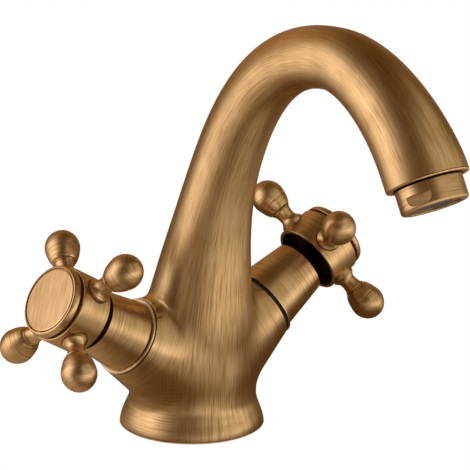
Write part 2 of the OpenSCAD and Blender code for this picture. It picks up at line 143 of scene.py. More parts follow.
@dataclass(frozen=True)
class BrushedBronze:
    """Antique bronze: brass with a brown patina, brushed back so that it shows through in fine, faint lines.

    The metal gives warm, wide highlights. The patina that is left between the scratches is darker and a little
    rougher, soft clouds of it lie under the brushing, and the scratches bend the light across their own direction.
    """

    name: str
    brushing: Brushing
    radius: float = 12.0  # mean radius of the brushed surface, in mm
    bright: str = "#e6c29b"
    middle: str = "#c8a171"
    patina: str = "#7e582a"
    streak_width: float = 0.21  # drawn coarser than the real grit of about 0.1 mm, which would not show
    streak_length: float = 9.0
    cloud: float = 7.0  # size of the patina's clouds, in mm
    roughness: float = 0.34
    anisotropy: float = 0.4
    relief: float = 0.006  # depth of the scratches, in mm
    edge: str = "#efe2d2"

    def scratch_space(self, tree: NodeTree, coarser: float = 1.0) -> NodeSocket:
        """Coordinates in which a round noise becomes streaks that close on themselves round the piece.

        The turn u becomes a circle (cos u, sin u). Its radius sets how many streaks fit round the piece, and V
        divided by the streak's length or width is the third coordinate. A straight brushing uses U and V as they
        are, in millimetres.

        Args:
            tree: The material's node tree.
            coarser: Factor on the streak's width and length.

        Returns:
            The socket that holds the coordinates.
        """
        width, length = self.streak_width * coarser, self.streak_length * coarser
        uv = add_node(tree, "UVMap", uv_map=FLOW_UV)
        split = add_node(tree, "SeparateXYZ", {0: uv.outputs[0]})
        if self.brushing is Brushing.STRAIGHT:
            across = add_node(tree, "Math", {0: split.outputs[0]}, operation="DIVIDE", in_1=width)
            along = add_node(tree, "Math", {0: split.outputs[1]}, operation="DIVIDE", in_1=length)
            joined = add_node(tree, "CombineXYZ", {0: across.outputs[0], 1: along.outputs[0]})
            return joined.outputs[0]
        around, along = (width, length) if self.brushing is Brushing.ALONG else (length, width)
        angle = add_node(tree, "Math", {0: split.outputs[0]}, operation="MULTIPLY", in_1=2 * math.pi)
        sockets = []
        for operation in ("COSINE", "SINE"):
            wave = add_node(tree, "Math", {0: angle.outputs[0]}, operation=operation)
            part = add_node(
                tree, "Math", {0: wave.outputs[0]}, operation="MULTIPLY", in_1=self.radius / around
            )
            sockets.append(part.outputs[0])
        height = add_node(tree, "Math", {0: split.outputs[1]}, operation="DIVIDE", in_1=along)
        joined = add_node(tree, "CombineXYZ", {0: sockets[0], 1: sockets[1], 2: height.outputs[0]})
        return joined.outputs[0]

    def streaks(self, tree: NodeTree, coarser: float, detail: float) -> NodeSocket:
        """Noise drawn out along the brushing, with a mean of 0.5.

        Args:
            tree: The material's node tree.
            coarser: Factor on the streak's width and length.
            detail: Octaves of the noise.

        Returns:
            The noise.
        """
        space = self.scratch_space(tree, coarser)
        noise = add_node(tree, "TexNoise", {"Vector": space}, in_Scale=1.0, in_Detail=detail, in_Roughness=0.6)
        return noise.outputs["Fac"]

    def build(self) -> Material:
        """Make the material.

        Returns:
            The material, which reads the piece's flow map and its Object coordinates.
        """
        material = bpy.data.materials.new(self.name)
        tree = fresh_tree(material)
        fine = self.streaks(tree, 1.0, 2.0)
        broad = self.streaks(tree, 2.2, 1.0)
        place = add_node(tree, "TexCoord")
        cloud = add_node(
            tree, "TexNoise", {"Vector": place.outputs["Object"]}, in_Scale=1000 / self.cloud / 2, in_Detail=2.0
        )
        lines = add_node(tree, "Math", {0: fine, 2: broad}, operation="MULTIPLY_ADD", in_1=2.0)
        summed = add_node(tree, "Math", {0: lines.outputs[0], 1: cloud.outputs["Fac"]}, operation="ADD")
        shade = add_node(tree, "MapRange", {"Value": summed.outputs[0]}, in_From_Min=1.05, in_From_Max=2.95)
        ramp = add_node(tree, "ValToRGB", {0: shade.outputs[0]})
        ramp.color_ramp.elements[0].color = linear(self.patina)
        ramp.color_ramp.elements[1].color = linear(self.bright)
        ramp.color_ramp.elements.new(0.5).color = linear(self.middle)
        rough = add_node(
            tree,
            "MapRange",
            {"Value": shade.outputs[0]},
            in_To_Min=self.roughness + 0.09,
            in_To_Max=self.roughness - 0.09,
        )
        bump = add_node(tree, "Bump", {"Height": fine}, in_Strength=1.0, in_Distance=metres(self.relief))
        tangent = add_node(tree, "Tangent", direction_type="UV_MAP", uv_map=FLOW_UV)
        shader = add_node(
            tree,
            "BsdfPrincipled",
            {
                "Base Color": ramp.outputs[0],
                "Roughness": rough.outputs[0],
                "Normal": bump.outputs[0],
                "Tangent": tangent.outputs[0],
            },
            in_Metallic=1.0,
            in_Anisotropic=self.anisotropy,
            in_Anisotropic_Rotation=0.0 if self.brushing is Brushing.ALONG else 0.25,
        )
        shader.inputs["Specular Tint"].default_value = linear(self.edge)
        add_node(tree, "OutputMaterial", {"Surface": shader.outputs[0]})
        return material


@dataclass(frozen=True)
class BrushedCasting(BrushedBronze):
    """The same bronze on the casting, where the belt ran along the neck but round the branches and the foot.

    Two vertex attributes hold how far the brushing has turned to go round the branch and round the foot.
    """

    branch_rise: float = 30.5

    def streaks(self, tree: NodeTree, coarser: float, detail: float) -> NodeSocket:
        """Noise along the neck, blended with noise in planes square to the branch's axis and to the foot's axis.

        In such a plane the noise is as long as a streak both ways, and across the planes it is as thin as one.

        Args:
            tree: The material's node tree.
            coarser: Factor on the streak's width and length.
            detail: Octaves of the noise.

        Returns:
            The noise.
        """
        result = super().streaks(tree, coarser, detail)
        place = add_node(tree, "TexCoord")
        folded = add_node(tree, "VectorMath", {0: place.outputs["Object"]}, operation="ABSOLUTE")
        fine, long = 1000 / self.streak_width / coarser, 1000 / self.streak_length / coarser
        tilt = math.radians(self.branch_rise)
        for share, turned in ((ROUND_BRANCH, -tilt + math.pi / 2), (ROUND_FOOT, 0.0)):
            space = add_node(
                tree, "Mapping", {0: folded.outputs[0]}, vector_type="POINT", in_Rotation=(0, -turned, 0)
            )
            drawn = add_node(
                tree, "VectorMath", {0: space.outputs[0]}, operation="MULTIPLY", in_1=(long, long, fine)
            )
            noise = add_node(
                tree, "TexNoise", {"Vector": drawn.outputs[0]}, in_Scale=1.0, in_Detail=detail, in_Roughness=0.6
            )
            weight = add_node(tree, "Attribute", attribute_name=share)
            blend = add_node(tree, "Mix", {0: weight.outputs["Fac"], 2: result, 3: noise.outputs["Fac"]})
            result = blend.outputs[0]
        return result


@dataclass(frozen=True)
class PlainFinish:
    """A finish of one colour with a fine grain: rubber, fibre, moulded plastic or an unbrushed turned metal."""

    name: str
    light: str
    dark: str
    roughness: float
    metallic: float = 0.0
    grain: float = 0.4  # size of the grain, in mm

    def build(self) -> Material:
        """Make the material.

        Returns:
            The material, which reads Object coordinates.
        """
        material = bpy.data.materials.new(self.name)
        tree = fresh_tree(material)
        place = add_node(tree, "TexCoord")
        noise = add_node(
            tree,
            "TexNoise",
            {"Vector": place.outputs["Object"]},
            in_Scale=1000.0 / self.grain / 4,
            in_Detail=3.0,
        )
        ramp = add_node(tree, "ValToRGB", {0: noise.outputs["Fac"]})
        ramp.color_ramp.elements[0].position = 0.35
        ramp.color_ramp.elements[0].color = linear(self.dark)
        ramp.color_ramp.elements[1].position = 0.65
        ramp.color_ramp.elements[1].color = linear(self.light)
        rough = add_node(
            tree,
            "MapRange",
            {"Value": noise.outputs["Fac"]},
            in_To_Min=self.roughness - 0.06,
            in_To_Max=self.roughness + 0.06,
        )
        bump = add_node(
            tree, "Bump", {"Height": noise.outputs["Fac"]}, in_Strength=0.6, in_Distance=metres(0.01)
        )
        shader = add_node(
            tree,
            "BsdfPrincipled",
            {"Base Color": ramp.outputs[0], "Roughness": rough.outputs[0], "Normal": bump.outputs[0]},
            in_Metallic=self.metallic,
        )
        add_node(tree, "OutputMaterial", {"Surface": shader.outputs[0]})
        return material


# Nitrile rubber: black and matt. It reads as a dark line wherever it shows.
RUBBER = PlainFinish("nitrile rubber", light="#1c1a18", dark="#100f0e", roughness=0.75)
# Vulcanised fibre painted nearly black brown: painted shade of the open cold joint above the branch, so that it reads
# as a dark line.
SHADED_FIBRE = PlainFinish("vulcanised fibre, painted shade", light="#1d130b", dark="#120b06", roughness=0.7)
# The same fibre, waxed and squeezed tight under the hot valve: brown, so that the closed joint hardly shows.
WAXED_FIBRE = PlainFinish("waxed vulcanised fibre", light="#6b4a2a", dark="#4f351d", roughness=0.6)
# Near-black bronze: patina in the joint at a sleeve's root, and painted shade in the recess behind a handle, on the
# sleeve under a shut handle's rim and on the aerator in the gap under the spout.
JOINT_PATINA_AND_PAINTED_SHADE = PlainFinish("joint patina and painted shade", light="#1f1208", dark="#120a04", roughness=0.55, metallic=1.0)
# Turned brass painted nearly black: painted shade on the parts inside the handle's skirt, which stand in shadow.
SHADED_BRASS = PlainFinish("turned brass, painted shade", light="#2a1d0c", dark="#1a1208", roughness=0.5, metallic=1.0)
# Stainless steel of the handle screw, as it comes from the lathe.
STEEL = PlainFinish("turned stainless steel", light="#b9bbbd", dark="#9fa1a4", roughness=0.3, metallic=1.0)
# Acetal of the aerator's insert: grey and moulded, with a soft sheen.
ACETAL = PlainFinish("moulded grey acetal", light="#6d6a62", dark="#5c5a53", roughness=0.45)


# ---- Surfaces ----


def ring_surface(name: str, rings: Array, lengths: Array, sharp_angle: float = 28.0) -> Object:
    """Make a mesh from rings of points: face (i, j) joins ring i to ring i + 1 between columns j and j + 1.

    A ring whose points all coincide becomes a pole. The flow map has the column's share of a turn as U and the
    ring's distance along the surface, in millimetres, as V.

    Args:
        name: Name of the piece.
        rings: Points of shape (rings, columns, 3), in metres, closed from the last column to the first.
        lengths: V of each ring, in mm, or of each point, of shape (rings, columns).
        sharp_angle: Edges that turn more than this, in degrees, stay sharp.

    Returns:
        The new object, at the origin.
    """
    count, columns = rings.shape[:2]
    i, j = np.meshgrid(np.arange(count - 1), np.arange(columns), indexing="ij")
    after = (j + 1) % columns
    first, second = i * columns, (i + 1) * columns
    quads = np.stack([first + j, first + after, second + after, second + j], axis=-1)
    spread = np.broadcast_to(np.asarray(lengths).reshape(count, -1), (count, columns))
    u = np.stack([j, j + 1, j + 1, j], axis=-1) / columns
    v = np.stack([spread[i, j], spread[i, after], spread[i + 1, after], spread[i + 1, j]], axis=-1)
    mesh = bpy.data.meshes.new(name)
    mesh.vertices.add(count * columns)
    mesh.vertices.foreach_set("co", rings.reshape(-1).astype(np.float32))
    faces = quads.reshape(-1, 4)
    mesh.loops.add(faces.size)
    mesh.loops.foreach_set("vertex_index", faces.reshape(-1).astype(np.int32))
    mesh.polygons.add(len(faces))
    mesh.polygons.foreach_set("loop_start", (np.arange(len(faces)) * 4).astype(np.int32))
    mesh.update(calc_edges=True)
    flow = mesh.uv_layers.new(name=FLOW_UV)
    flow.data.foreach_set("uv", np.stack([u.reshape(-1), v.reshape(-1)], axis=-1).reshape(-1).astype(np.float32))
    return finish_mesh(name, mesh, sharp_angle)


def finish_mesh(name: str, mesh: Mesh, sharp_angle: float) -> Object:
    """Close seams and poles, point the faces outwards, smooth the shading and link the object.

    Args:
        name: Name of the piece.
        mesh: The mesh.
        sharp_angle: Edges that turn more than this, in degrees, stay sharp.

    Returns:
        The new object.
    """
    work = bmesh.new()
    work.from_mesh(mesh)
    bmesh.ops.remove_doubles(work, verts=work.verts, dist=1e-7)
    bmesh.ops.recalc_face_normals(work, faces=work.faces)
    work.to_mesh(mesh)
    work.free()
    mesh.polygons.foreach_set("use_smooth", np.ones(len(mesh.polygons), dtype=bool))
    mesh.set_sharp_from_angle(angle=math.radians(sharp_angle))
    piece = bpy.data.objects.new(name, mesh)
    bpy.context.scene.collection.objects.link(piece)
    return piece


def rounded(corners: list[tuple[float, float, float]], steps: int = 6) -> Array:
    """Round the corners of an open outline with circular arcs.

    Each arc touches both sides of its corner: its centre lies on the corner's bisector, and the tangent length is
    the arc's radius times the tangent of half the turn.

    Args:
        corners: Radius from the axis, height, and rounding radius of each corner.
        steps: Points on each arc, less one.

    Returns:
        Points of shape (n, 2).
    """
    out = []
    last = len(corners) - 1
    for index, (x, y, radius) in enumerate(corners):
        here = np.array([x, y])
        if radius == 0 or index in (0, last):
            out.append(here)
            continue
        back = np.array(corners[index - 1][:2]) - here
        ahead = np.array(corners[index + 1][:2]) - here
        back /= np.linalg.norm(back)
        ahead /= np.linalg.norm(ahead)
        half = math.acos(np.clip(back @ ahead, -1, 1)) / 2
        centre = here + (back + ahead) / np.linalg.norm(back + ahead) * radius / math.sin(half)
        tangent = radius / math.tan(half)
        start, end = here + back * tangent - centre, here + ahead * tangent - centre
        turn = math.atan2(start[0] * end[1] - start[1] * end[0], start @ end)
        for share in np.linspace(0, 1, steps + 1):
            c, s = math.cos(turn * share), math.sin(turn * share)
            out.append(centre + np.array([c * start[0] - s * start[1], s * start[0] + c * start[1]]))
    return np.array(out)


def refine(profile: Array, step: float) -> Array:
    """Add points so that no stretch of an outline is longer than step.

    Args:
        profile: Points of shape (n, 2).
        step: Longest stretch, in mm.

    Returns:
        The finer outline.
    """
    gaps = np.linalg.norm(np.diff(profile, axis=0), axis=1)
    pieces = [
        start + np.linspace(0, 1, max(1, math.ceil(gap / step)), endpoint=False)[:, None] * (end - start)
        for start, end, gap in zip(profile, profile[1:], gaps)
    ]
    return np.vstack([*pieces, profile[-1:]])


def revolve(name: str, profile: Array, place: Matrix, columns: int = 128, step: float = 1.0) -> Object:
    """Turn an outline about the local Z axis: a point (r, z) becomes (r cos a, r sin a, z) for every angle a.

    Args:
        name: Name of the piece.
        profile: Radius and height of each point, in mm.
        place: Local frame of the axis, in metres.
        columns: Points round the axis.
        step: Longest stretch of the outline, in mm.

    Returns:
        The new object.
    """
    outline = refine(profile, step)
    angle = np.arange(columns) / columns * 2 * math.pi
    radius, height = outline[:, :1], outline[:, 1:]
    local = np.stack([radius * np.cos(angle), radius * np.sin(angle), height + 0 * angle], axis=-1)
    lengths = np.concatenate([[0], np.cumsum(np.linalg.norm(np.diff(outline, axis=0), axis=1))])
    return ring_surface(name, placed(local, place), lengths)


def placed(points: Array, place: Matrix) -> Array:
    """Move points in millimetres by a placing matrix in metres: p becomes R p + t.

    Args:
        points: Points of shape (..., 3), in mm.
        place: The matrix.

    Returns:
        The points in metres.
    """
    matrix = np.array(place)
    return metres(points) @ matrix[:3, :3].T + matrix[:3, 3]


def brought_back(points: Array, place: Matrix) -> Array:
    """Undo placed(): turn points in metres into a frame's own coordinates in millimetres."""
    back = np.array(place.inverted())
    return (points @ back[:3, :3].T + back[:3, 3]) * 1000


def carve(piece: Object, cutters: list[Object], sharp_angle: float = 28.0) -> None:
    """Take the cutters' volume away from a piece, for good, and remove the cutters.

    Args:
        piece: The piece.
        cutters: Closed solids.
        sharp_angle: Edges that turn more than this, in degrees, stay sharp.
    """
    for cutter in cutters:
        modifier = piece.modifiers.new("cut", "BOOLEAN")
        modifier.operation = "DIFFERENCE"
        modifier.solver = "EXACT"
        modifier.object = cutter
        depsgraph = bpy.context.evaluated_depsgraph_get()
        mesh = bpy.data.meshes.new_from_object(piece.evaluated_get(depsgraph))
        piece.modifiers.clear()
        piece.data = mesh
        bpy.data.objects.remove(cutter)
    piece.data.polygons.foreach_set("use_smooth", np.ones(len(piece.data.polygons), dtype=bool))
    piece.data.set_sharp_from_angle(angle=math.radians(sharp_angle))


def smooth_step(value: Array, low: float, high: float) -> Array:
    """Rise from 0 at low to 1 at high by 3 t^2 - 2 t^3."""
    t = np.clip((value - low) / (high - low), 0, 1)
    return t * t * (3 - 2 * t)


def turn(axis: str, degrees: float) -> Matrix:
    """Rotation matrix about one axis."""
    return Matrix.Rotation(math.radians(degrees), 4, axis)


def shift(x: float = 0, y: float = 0, z: float = 0) -> Matrix:
    """Translation matrix, from millimetres."""
    return Matrix.Translation(Vector((x, y, z)) * 0.001)


def dress(piece: Object, material: Material, slot: str, body: str, *nodes: str) -> None:
    """Give a piece its material and its body, and let it stand for CAD nodes.

    Args:
        piece: The piece.
        material: Its material.
        slot: The record's material slot; not used.
        body: The CAD body that carries it.
        *nodes: CAD nodes that it replaces.
    """
    piece.data.materials.clear()
    piece.data.materials.append(material)
    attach(piece, body)
    if nodes:
        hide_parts(*nodes)
    log.info("%s: %d faces on %s", piece.name, len(piece.data.polygons), body)


def give_dark_finish(piece: Object, place: Matrix, patina: Material, radii: tuple, heights: tuple) -> None:
    """Give the faces whose middle lies in a ring about the local Z axis the near-black finish: joint patina at a
    sleeve's root, painted shade in recesses and gaps.

    Args:
        piece: A piece that already has its own material.
        place: Local frame of the axis.
        patina: The dark finish.
        radii: Smallest and largest distance from the axis, in mm.
        heights: Lowest and highest place along the axis, in mm.
    """
    mesh = piece.data
    if patina.name not in mesh.materials:
        mesh.materials.append(patina)
    local = brought_back(read(mesh.polygons, "center", 3), place)
    radius = np.linalg.norm(local[:, :2], axis=1)
    inside = (radius > radii[0]) & (radius < radii[1]) & (local[:, 2] > heights[0]) & (local[:, 2] < heights[1])
    slots = read(mesh.polygons, "material_index", kind=np.int32)
    mesh.polygons.foreach_set("material_index", np.maximum(slots, inside))
    mesh.update()


# ---- The casting ----


@dataclass
class Branches:
    """The two side branches of the casting, and the frames that stand on their axes."""

    height: float = 20.4
    rise: float = 30.5
    radius: float = 14.3
    flare: float = 0.23
    ends: tuple[float, float] = (33.2, 35.4)  # hot and cold end face, along the axis
    fillet: float = 5.0

    def axis(self) -> Array:
        """Unit vector along the cold branch."""
        return np.array([math.cos(math.radians(self.rise)), 0, math.sin(math.radians(self.rise))])

    def place(self, side: int) -> Matrix:
        """Frame whose Z runs outwards along the branch of that side, -1 for hot and 1 for cold."""
        return shift(z=self.height) @ turn("Y", side * (90 - self.rise))

    def gap(self, points: Array) -> Array:
        """Signed distance to the nearer branch: a cone about its axis, round at its root.

        Args:
            points: Points of shape (..., 3), in mm.

        Returns:
            The distances, negative inside.
        """
        folded = points - np.array([0, 0, self.height])
        end = np.where(folded[..., 0] < 0, *self.ends)
        folded[..., 0] = np.abs(folded[..., 0])
        along = np.maximum(folded @ self.axis(), 0)
        off_axis = np.linalg.norm(folded - along[..., None] * self.axis(), axis=-1)
        cone = off_axis - self.radius - self.flare * (end - along)
        return np.maximum(cone, along - end - 3)


@dataclass
class Casting:
    """Foot, branches, neck and gooseneck in one cast skin, hollow, and open at the outlet."""

    branches: Branches = field(default_factory=Branches)
    foot_height: float = 6.0
    crown: tuple[float, float] = (-75.2, 145.7)
    outlet: tuple[float, float] = (-121.9, 113.4)
    outlet_tilt: float = 28.2
    neck_pull: float = 52.0
    neck_lean: float = 4.6
    crown_pull: float = 58.8
    nose_pull: float = 20.3
    outlet_pull: float = 16.0
    neck_start: float = 0.36
    bore_radius: float = 10.45
    bore_depth: float = 9.5
    recess_radius: float = 11.7
    recess_depth: float = 1.2
    rim_round: float = 0.45
    columns: int = 224
    edge_height: float = 0.35  # the foot's lowest ring, just above the floor
    # Machined into each branch: the valve's bore and thread as radius and start, and the flat end as radius
    valve_bore: tuple[float, float] = (9.0, 14.9)
    valve_thread: tuple[float, float] = (10.0, 23.8)
    end_cut: float = 17.5
    # Under the foot: x, y, radius and depth of the two inlets and the stud, and the seal's groove
    foot_holes: tuple[tuple[float, ...], ...] = ((-9, 0, 4.5, 12), (9, 0, 4.5, 12), (0, -14, 3.4, 14))
    seal_groove: tuple[float, float] = (18.6, 22.6)
    foot_side: tuple[float, float] = (-0.78, 0.62)  # the side of the foot that was brushed round it
    # Where the crotches are calmed, as pairs between which the pull rises from nothing to all of it
    calm_above: tuple[float, float] = (27, 33)
    calm_below: tuple[float, float] = (62, 52)
    calm_beside: tuple[float, float] = (9, 13)
    calm_before_end: tuple[float, float] = (0.6, 2.2)
    calm_depth: float = 1.5  # points deeper than this in a branch, such as its bore's, stay put
    calm_pull: float = 0.6
    # Radius of the trunk through pairs of station and radius: -1 floor, 0 top of the foot, 1 crown, 2 outlet
    knots: tuple[tuple[float, float], ...] = (
        (-1, 26.3), (-0.86, 26.25), (-0.5, 25.8), (0, 24.75), (0.035, 22.6), (0.07, 21.15), (0.12, 20.9),
        (0.2, 19.95), (0.3, 16.85), (0.4, 14), (0.5, 12.25), (0.6, 11.5), (0.75, 10.85), (0.9, 10.5), (1, 10.5),
        (1.15, 11.05), (1.4, 11.95), (1.7, 13.05), (1.9, 13.7), (2, 13.8),
    )  # fmt: skip

    def outlet_direction(self) -> Array:
        """Unit vector (y, z) along which the water leaves."""
        tilt = math.radians(self.outlet_tilt)
        return np.array([-math.sin(tilt), -math.cos(tilt)])

    def outlet_place(self) -> Matrix:
        """Frame at the centre of the outlet whose Z is the way the water leaves."""
        return shift(y=self.outlet[0], z=self.outlet[1]) @ turn("X", 180 - self.outlet_tilt)

    def centre_line(self, station: Array) -> tuple[Array, Array]:
        """Points and unit headings of the centre line: straight in the foot, then two cubic curves.

        A cubic is (1-t)^3 a + 3 (1-t)^2 t b + 3 (1-t) t^2 c + t^3 d, and its heading is its derivative made unit.
        The headings are upright in the foot and lean over above it by a smooth step, so that no ring cuts another.

        Args:
            station: Stations, of shape (n,).

        Returns:
            Points and headings in the (y, z) plane, each of shape (n, 2).
        """
        crown, outlet = np.array(self.crown), np.array(self.outlet)
        rising = np.array(
            [(0, self.foot_height), (-self.neck_lean, self.foot_height + self.neck_pull),
             (crown[0] + self.crown_pull, crown[1]), crown]
        )  # fmt: skip
        falling = np.array(
            [crown, (crown[0] - self.nose_pull, crown[1]), outlet - self.outlet_pull * self.outlet_direction(), outlet]
        )
        curve = np.where((station > 1)[:, None, None], falling, rising)
        t = np.clip(np.where(station > 1, station - 1, station), 0, 1)[:, None]
        a, b, c, d = (curve[:, k] for k in range(4))
        points = (1 - t) ** 3 * a + 3 * (1 - t) ** 2 * t * b + 3 * (1 - t) * t**2 * c + t**3 * d
        slope = (1 - t) ** 2 * (b - a) + 2 * (1 - t) * t * (c - b) + t**2 * (d - c)
        headings = slope / np.linalg.norm(slope, axis=1, keepdims=True)
        low = station < 0
        points[low] = np.stack([0 * station[low], self.foot_height * (1 + station[low])], axis=-1)
        lean = smooth_step(station, 0, 0.16)[:, None]
        headings = lean * headings + (1 - lean) * np.array([0, 1])
        return points, headings / np.linalg.norm(headings, axis=1, keepdims=True)

    def trunk_radius(self, station: Array) -> Array:
        """Smooth radius through the knots: a cubic between each pair, with slopes from their neighbours.

        A unit of station is 6 mm in the foot and about three neck_pulls above it, so the foot's stations are
        first brought to the neck's units. The outline then runs smoothly out of the foot.

        Args:
            station: Stations, of shape (n,).

        Returns:
            The radii, in mm.
        """
        x, y = np.array(self.knots, dtype=float).T
        foot_share = self.foot_height / (3 * self.neck_pull)
        x, station = np.where(x < 0, x * foot_share, x), np.where(station < 0, station * foot_share, station)
        before, after = np.maximum(np.arange(len(x)) - 1, 0), np.minimum(np.arange(len(x)) + 1, len(x) - 1)
        slope = (y[after] - y[before]) / (x[after] - x[before])
        i = np.clip(np.searchsorted(x, station, side="right") - 1, 0, len(x) - 2)
        w = x[i + 1] - x[i]
        t = (station - x[i]) / w
        return (
            (2 * t**3 - 3 * t**2 + 1) * y[i] + (t**3 - 2 * t**2 + t) * w * slope[i]
            + (3 * t**2 - 2 * t**3) * y[i + 1] + (t**3 - t**2) * w * slope[i + 1]
        )  # fmt: skip

    def ring_points(self, station: Array, angle: Array, radius: Array) -> Array:
        """Points at an angle and distance from the centre line, in the plane square to its heading.

        Args:
            station: Stations, of shape (n,).
            angle: Angles, of shape (m,), in radians.
            radius: Distances, of shape (n, m), in mm.

        Returns:
            Points of shape (n, m, 3), in mm.
        """
        centre, heading = self.centre_line(station)
        sideways, forwards = radius * np.cos(angle), radius * np.sin(angle)
        return np.stack(
            [sideways, centre[:, :1] + forwards * heading[:, 1:], centre[:, 1:] - forwards * heading[:, :1]], axis=-1
        )

    def skin_radius(self, station: Array, angle: Array) -> Array:
        """Distance from the centre line to the skin, halving the search span for the whole grid at once.

        The skin is where the smooth union of the trunk and the branches is zero. The smooth union of distances a
        and b is min(a, b) - h^2 k / 4, with k the fillet and h = max(k - |a - b|, 0) / k.

        Args:
            station: Stations, of shape (n,).
            angle: Angles, of shape (m,), in radians.

        Returns:
            Distances of shape (n, m), in mm.
        """
        trunk = self.trunk_radius(station)[:, None] + 0 * angle
        low, high = trunk * 0.5, trunk + 0 * angle + 34
        k = self.branches.fillet
        for _ in range(22):
            middle = (low + high) / 2
            a = middle - trunk
            b = self.branches.gap(self.ring_points(station, angle, middle))
            h = np.maximum(k - np.abs(a - b), 0) / k
            inside = np.minimum(a, b) - h * h * k / 4 < 0
            low, high = np.where(inside, middle, low), np.where(inside, high, middle)
        return np.where((station > self.neck_start)[:, None], trunk, (low + high) / 2)

    def skin(self) -> Object:
        """The closed surface: underside, outer skin, rim of the outlet, recess and bore, in rings."""
        angle = np.arange(self.columns) / self.columns * 2 * math.pi
        angle = angle - math.radians(9) * np.sin(2 * angle)
        station = np.concatenate(
            [np.linspace(-1, 0, 14, endpoint=False), np.linspace(0, 0.16, 50, endpoint=False),
             np.linspace(0.16, 0.36, 150, endpoint=False), np.linspace(0.36, 1, 90, endpoint=False),
             np.linspace(1, 2, 96)]
        )  # fmt: skip
        radius = self.skin_radius(station, angle)
        outer = self.ring_points(station, angle, radius)
        end_radius = radius[-1, 0]
        rim = rounded(
            [(end_radius, -2, 0), (end_radius, 0, self.rim_round), (self.recess_radius, 0, 0.15),
             (self.recess_radius, -self.recess_depth, 0), (self.bore_radius, -self.recess_depth, 0),
             (self.bore_radius, -self.bore_depth, 0), (0, -self.bore_depth, 0)]
        )[1:]  # fmt: skip
        local = np.stack(
            [rim[:, :1] * np.cos(angle), rim[:, :1] * np.sin(angle), rim[:, 1:] + 0 * angle], axis=-1
        ) * np.array([1, -1, 1])
        inner = placed(local, self.outlet_place()) * 1000
        floor = np.zeros((1, self.columns, 3))
        under = outer[:1] * np.array([0.985, 0.985, 1])
        outer[0, :, 2] = self.edge_height
        rings = np.concatenate([floor, under, outer[:-1], inner])
        steps = np.linalg.norm(np.diff(self.centre_line(station)[0], axis=0), axis=1)
        along = np.concatenate([[0], np.cumsum(steps)])
        inwards = np.concatenate([[0], np.cumsum(np.linalg.norm(np.diff(rim, axis=0), axis=1))])
        lengths = np.concatenate([[-26, -1], along[:-1], along[-1] + inwards])
        return ring_surface("casting", metres(rings), lengths)

    def build(self, bronze: Material) -> None:
        """Make the casting, machine its branch ends and its underside, and dress it.

        Args:
            bronze: The brushed finish.
        """
        piece = self.skin()
        cutters = []
        for side, end in zip((-1, 1), self.branches.ends):
            (bore_radius, seat), (thread_radius, thread) = self.valve_bore, self.valve_thread
            bore = [
                (0, seat), (bore_radius, seat), (bore_radius, thread), (thread_radius, thread), (thread_radius, end),
                (self.end_cut, end), (self.end_cut, end + 15), (0, end + 15),
            ]  # fmt: skip
            cutters.append(revolve(f"branch cutter {side}", np.array(bore), self.branches.place(side), 160, 4))
        for x, y, radius, depth in self.foot_holes:
            hole = np.array([(0, -2), (radius, -2), (radius, depth), (0, depth)])
            cutters.append(revolve("hole cutter", hole, shift(x, y), 48, 8))
        near, far = self.seal_groove
        groove = np.array([(near, -2), (far, -2), (far, 2), (near, 2), (near, -2)])
        cutters.append(revolve("groove cutter", groove, shift(), 96, 8))
        carve(piece, cutters)
        self.calm_crotches(piece)
        self.mark_brushing(piece)
        dress(piece, bronze, "bronze", "fixture", "body")

    def calm_crotches(self, piece: Object, rounds: int = 24) -> None:
        """Draw each point near the top of a branch's root towards its neighbours' mean, again and again.

        There the rings run almost along the skin, and the faces between them would show as fine ripples. The pull
        fades out by the smooth step before the branch's machined end and below the crotch.

        Args:
            piece: The casting.
            rounds: How often the points are drawn together.
        """
        mesh = piece.data
        points = read(mesh.vertices, "co", 3) * 1000
        edges = read(mesh.edges, "vertices", 2, np.int32)
        start, end = edges.T
        folded = np.abs(points)
        folded[:, 2] -= self.branches.height
        along = folded @ self.branches.axis()
        limit = np.where(points[:, 0] < 0, *self.branches.ends)
        pull = smooth_step(points[:, 2], *self.calm_above) * smooth_step(folded[:, 0], *self.calm_beside)
        pull = pull * smooth_step(limit - along, *self.calm_before_end)
        pull = pull * smooth_step(-points[:, 2], *(-z for z in self.calm_below))
        pull = self.calm_pull * (pull * (self.branches.gap(points) > -self.calm_depth))[:, None]
        count = np.maximum(np.bincount(edges.reshape(-1), minlength=len(points)), 1)[:, None]
        for _ in range(rounds):
            total = np.zeros_like(points)
            np.add.at(total, start, points[end])
            np.add.at(total, end, points[start])
            points = points + pull * (total / count - points)
        mesh.vertices.foreach_set("co", metres(points).reshape(-1))
        mesh.update()

    def mark_brushing(self, piece: Object) -> None:
        """Keep how far the brushing goes round the branch and round the foot's left side, as two shares from 0 to 1.

        The first grows along the branch, on its own surface. The second grows downwards and towards the side of
        the foot that lies at the camera's left, and both by the smooth step 3 t^2 - 2 t^3.

        Args:
            piece: The casting.
        """
        points = read(piece.data.vertices, "co", 3) * 1000
        folded = np.abs(points - np.array([0, 0, self.branches.height]) * np.array([1, 0, 1]))
        folded[:, 2] = points[:, 2] - self.branches.height
        along = folded @ self.branches.axis()
        shares = {
            ROUND_BRANCH: smooth_step(along, 17, 27) * smooth_step(-self.branches.gap(points), -3, -0.6),
            ROUND_FOOT: smooth_step(-points[:, 2], -26, -15) * smooth_step(points[:, :2] @ self.foot_side, 1, 8),
        }
        for name, share in shares.items():
            layer = piece.data.attributes.new(name, "FLOAT", "POINT")
            layer.data.foreach_set("value", share.astype(np.float32))


# ---- Valve tops, handles and aerator ----

SIDES = {"hot": -1, "cold": 1}
FAR = 99  # mm, beyond the end of any piece


